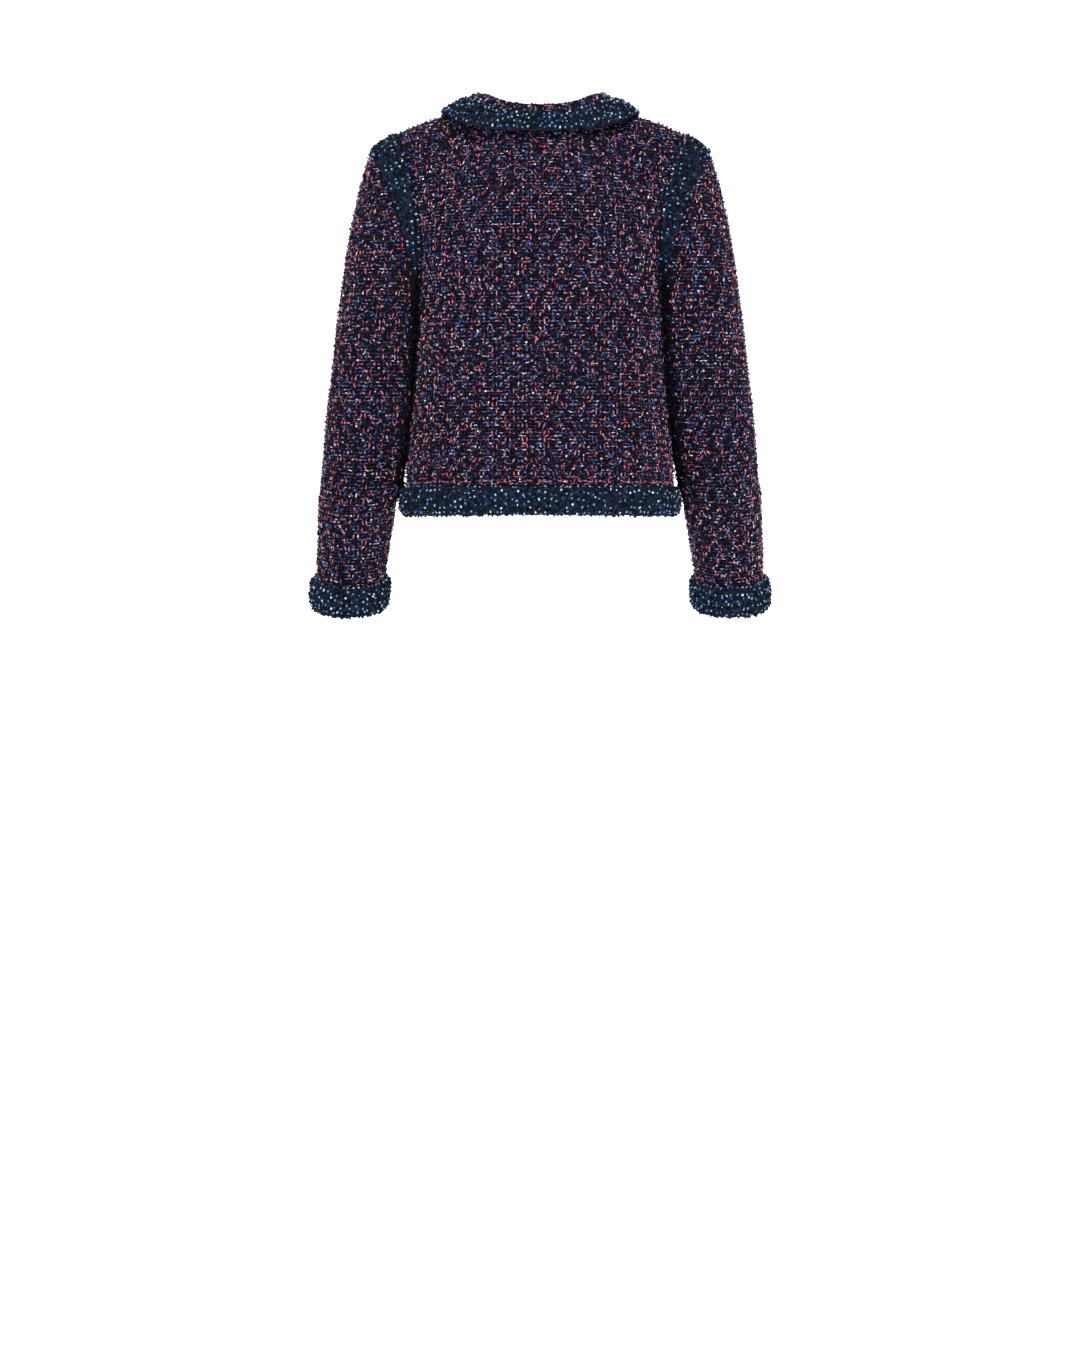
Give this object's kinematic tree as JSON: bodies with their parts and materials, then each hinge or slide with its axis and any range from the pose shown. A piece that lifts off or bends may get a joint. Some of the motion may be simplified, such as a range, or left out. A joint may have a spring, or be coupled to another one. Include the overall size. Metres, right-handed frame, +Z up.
{
  "type": "cropped tweed jacket",
  "caption": "Hollow worn cropped jacket in open-weave tweed with a short roll collar and padded dark bands at collar, armholes, hem and cuffs.",
  "frame": {"origin": "base of the wearer's neck, on the centre plane, where the jacket is held up by the shoulders", "axes": "+Z up, -Y to the wearer's front, +X to the wearer's left"},
  "size_m": [0.5666, 0.2742, 0.6373],
  "materials": {
    "tweed": "matt woven tweed, dark ground with coral, pink, blue and pale slubs",
    "trim": "matt padded felted band, dark navy with light blue flecks"
  },
  "bodies": {
    "root": {"back": "tweed", "front_left": "tweed", "front_right": "tweed", "sleeve_left": "tweed", "sleeve_right": "tweed", "collar": "tweed", "armhole_trim_left": "trim", "armhole_trim_right": "trim", "collar_trim": "trim", "hem_trim": "trim", "cuff_left": "trim", "cuff_right": "trim"}
  },
  "joints": []
}
